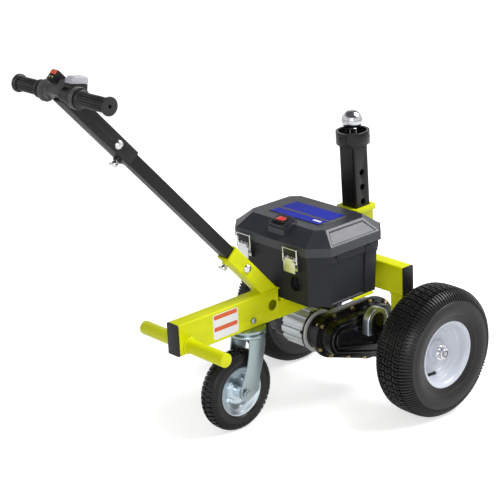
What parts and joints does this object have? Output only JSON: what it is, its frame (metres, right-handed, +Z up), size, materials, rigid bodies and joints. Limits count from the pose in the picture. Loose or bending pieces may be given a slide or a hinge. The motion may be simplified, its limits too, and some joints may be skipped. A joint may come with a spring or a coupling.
{
  "type": "walk behind electric tug",
  "caption": "Walk behind electric tug with a steering handle, caster, battery box, geared drive axle and a hitch ball on a pinned mast",
  "frame": {"origin": "on the ground at the middle of the outline in plan", "axes": "+X from the handle towards the driven wheels, +Y to the walking user's left, +Z up"},
  "size_m": [1.0884, 0.6236, 0.9398],
  "materials": {
    "lime_paint": "gloss",
    "black_paint": "satin",
    "black_plastic": "matte",
    "box_plastic": "textured",
    "lid_plastic": "textured",
    "red_plastic": "gloss",
    "silver_plastic": "satin",
    "grip_rubber": "matte",
    "tyre_rubber": "matte",
    "stainless": "satin",
    "zinc": "zinc plated",
    "brass_zinc": "yellow zinc",
    "ball_chrome": "polished",
    "motor_alloy": "cast",
    "cast_black": "gloss",
    "cast_grey": "cast",
    "rim_paint": "satin",
    "steel": "machined",
    "copper_steel": "laminated"
  },
  "bodies": {
    "frame": {"main_beam": "lime_paint", "end_caps": "black_plastic", "push_bar": "lime_paint", "cross_beam": "lime_paint", "axle_legs": "lime_paint", "mast_receiver": "lime_paint", "battery_tray": "lime_paint", "handle_socket": "lime_paint", "socket_bolt": "stainless", "battery_box": "box_plastic", "charge_port": "black_plastic", "latch_bases": "stainless", "battery": "black_plastic", "motor_housing": "motor_alloy", "motor_end_cover": "cast_black", "gear_case": "cast_black", "gear_cover": "cast_black", "case_bolts": "brass_zinc", "axle_arm": "cast_grey", "caster_plate": "zinc"},
    "socket_clamp": {"socket_screw": "stainless"},
    "lower_handle": {"lower_tube": "black_paint"},
    "upper_handle": {"upper_tube": "black_paint", "upper_bolt": "stainless", "handlebar": "black_paint", "left_grip": "grip_rubber", "throttle_case": "black_plastic", "control_head": "black_plastic", "display_cap": "silver_plastic", "switch_pod": "black_plastic"},
    "upper_clamp": {"upper_screw": "stainless"},
    "throttle": {"throttle_grip": "grip_rubber"},
    "stop": {"stop_button": "red_plastic"},
    "hitch": {"mast": "black_paint", "mast_collar": "black_paint", "hitch_ball": "ball_chrome", "ball_nut": "zinc"},
    "lid": {"box_lid": "lid_plastic", "switch_bezel": "black_plastic"},
    "main_switch": {"rocker": "red_plastic"},
    "rotor": {"motor_rotor": "copper_steel"},
    "idler": {"idler_gear": "steel"},
    "final_gear": {"axle_gear": "steel"},
    "left_wheel": {"left_shaft": "steel", "left_rim": "rim_paint", "left_tyre": "tyre_rubber"},
    "right_wheel": {"right_shaft": "steel", "right_rim": "rim_paint", "right_tyre": "tyre_rubber"},
    "caster_swivel": {"caster_fork": "zinc"},
    "caster_roller": {"caster_wheel": "rim_paint", "caster_tyre": "tyre_rubber"},
    "lever_1": {"latch_lever_1": "stainless"},
    "bail_1": {"latch_bail_1": "stainless"},
    "lever_2": {"latch_lever_2": "stainless"},
    "bail_2": {"latch_bail_2": "stainless"},
    "lever_3": {"latch_lever_3": "stainless"},
    "bail_3": {"latch_bail_3": "stainless"},
    "lever_4": {"latch_lever_4": "stainless"},
    "bail_4": {"latch_bail_4": "stainless"}
  },
  "joints": [
    {"name": "handle_length", "type": "slide", "parent": "frame", "child": "lower_handle", "axis": [-0.7145, 0, 0.6997], "range_m": [0, 0.1]},
    {"name": "handle_extension", "type": "slide", "parent": "lower_handle", "child": "upper_handle", "axis": [-0.7145, 0, 0.6997], "range_m": [-0.06, 0.08]},
    {"name": "socket_clamp_turn", "type": "hinge", "parent": "frame", "child": "socket_clamp", "pos_m": [-0.05935, 0, 0.44078], "axis": [-0.6997, 0, -0.7145], "range_deg": [-180, 180]},
    {"name": "upper_clamp_turn", "type": "hinge", "parent": "upper_handle", "child": "upper_clamp", "pos_m": [-0.36943, 0, 0.74443], "axis": [-0.6997, 0, -0.7145], "range_deg": [-180, 180]},
    {"name": "throttle_twist", "type": "hinge", "parent": "upper_handle", "child": "throttle", "pos_m": [-0.52018, 0, 0.89206], "axis": [0, -1, 0], "range_deg": [0, 70], "stiffness_Nm_per_rad": 0.3},
    {"name": "stop_press", "type": "slide", "parent": "upper_handle", "child": "stop", "axis": [0.7145, 0, -0.6997], "range_m": [0, 0.003], "stiffness_N_per_m": 800},
    {"name": "mast_height", "type": "slide", "parent": "frame", "child": "hitch", "axis": [-0.0941, 0, 0.9956], "range_m": [0, 0.08]},
    {"name": "lid_lift", "type": "slide", "parent": "frame", "child": "lid", "axis": [-0.0593, 0, 0.9982], "range_m": [0, 0.15]},
    {"name": "main_switch_rock", "type": "hinge", "parent": "lid", "child": "main_switch", "pos_m": [0.09619, -0.008, 0.49711], "axis": [0, 1, 0], "range_deg": [-9, 9]},
    {"name": "motor_spin", "type": "hinge", "parent": "frame", "child": "rotor", "pos_m": [0.23793, 0, 0.1796], "axis": [0, 1, 0], "continuous": true},
    {"name": "idler_spin", "type": "hinge", "parent": "frame", "child": "idler", "pos_m": [0.29961, -0.03, 0.17322], "axis": [0, 1, 0], "continuous": true},
    {"name": "axle_gear_spin", "type": "hinge", "parent": "frame", "child": "final_gear", "pos_m": [0.37918, -0.04, 0.165], "axis": [0, 1, 0], "continuous": true},
    {"name": "left_wheel_spin", "type": "hinge", "parent": "frame", "child": "left_wheel", "pos_m": [0.37918, 0.253, 0.165], "axis": [0, 1, 0], "continuous": true},
    {"name": "right_wheel_spin", "type": "hinge", "parent": "frame", "child": "right_wheel", "pos_m": [0.37918, -0.253, 0.165], "axis": [0, 1, 0], "continuous": true},
    {"name": "caster_turn", "type": "hinge", "parent": "frame", "child": "caster_swivel", "pos_m": [-0.00553, 0, 0.233], "axis": [-0.0593, 0, 0.9982], "continuous": true},
    {"name": "caster_spin", "type": "hinge", "parent": "caster_swivel", "child": "caster_roller", "pos_m": [-0.0443, 0, 0.1016], "axis": [0, 1, 0], "continuous": true},
    {"name": "latch_lever_1_swing", "type": "hinge", "parent": "frame", "child": "lever_1", "pos_m": [0.05897, 0.087, 0.42547], "axis": [0, 1, 0], "range_deg": [0, 90]},
    {"name": "latch_bail_1_swing", "type": "hinge", "parent": "lever_1", "child": "bail_1", "pos_m": [0.05944, 0.087, 0.41748], "axis": [0, 1, 0], "range_deg": [-118, 0]},
    {"name": "latch_lever_2_swing", "type": "hinge", "parent": "frame", "child": "lever_2", "pos_m": [0.05897, -0.075, 0.42547], "axis": [0, 1, 0], "range_deg": [0, 90]},
    {"name": "latch_bail_2_swing", "type": "hinge", "parent": "lever_2", "child": "bail_2", "pos_m": [0.05944, -0.075, 0.41748], "axis": [0, 1, 0], "range_deg": [-118, 0]},
    {"name": "latch_lever_3_swing", "type": "hinge", "parent": "frame", "child": "lever_3", "pos_m": [0.3241, -0.087, 0.44122], "axis": [0, -1, 0], "range_deg": [0, 90]},
    {"name": "latch_bail_3_swing", "type": "hinge", "parent": "lever_3", "child": "bail_3", "pos_m": [0.32458, -0.087, 0.43323], "axis": [0, -1, 0], "range_deg": [-118, 0]},
    {"name": "latch_lever_4_swing", "type": "hinge", "parent": "frame", "child": "lever_4", "pos_m": [0.3241, 0.075, 0.44122], "axis": [0, -1, 0], "range_deg": [0, 90]},
    {"name": "latch_bail_4_swing", "type": "hinge", "parent": "lever_4", "child": "bail_4", "pos_m": [0.32458, 0.075, 0.43323], "axis": [0, -1, 0], "range_deg": [-118, 0]}
  ],
  "couplings": [
    {"joint": "idler_spin", "follows": "motor_spin", "ratio": -0.34783},
    {"joint": "axle_gear_spin", "follows": "motor_spin", "ratio": 0.11594},
    {"joint": "latch_bail_1_swing", "follows": "latch_lever_1_swing", "ratio": -1.3},
    {"joint": "latch_bail_2_swing", "follows": "latch_lever_2_swing", "ratio": -1.3},
    {"joint": "latch_bail_3_swing", "follows": "latch_lever_3_swing", "ratio": -1.3},
    {"joint": "latch_bail_4_swing", "follows": "latch_lever_4_swing", "ratio": -1.3}
  ]
}
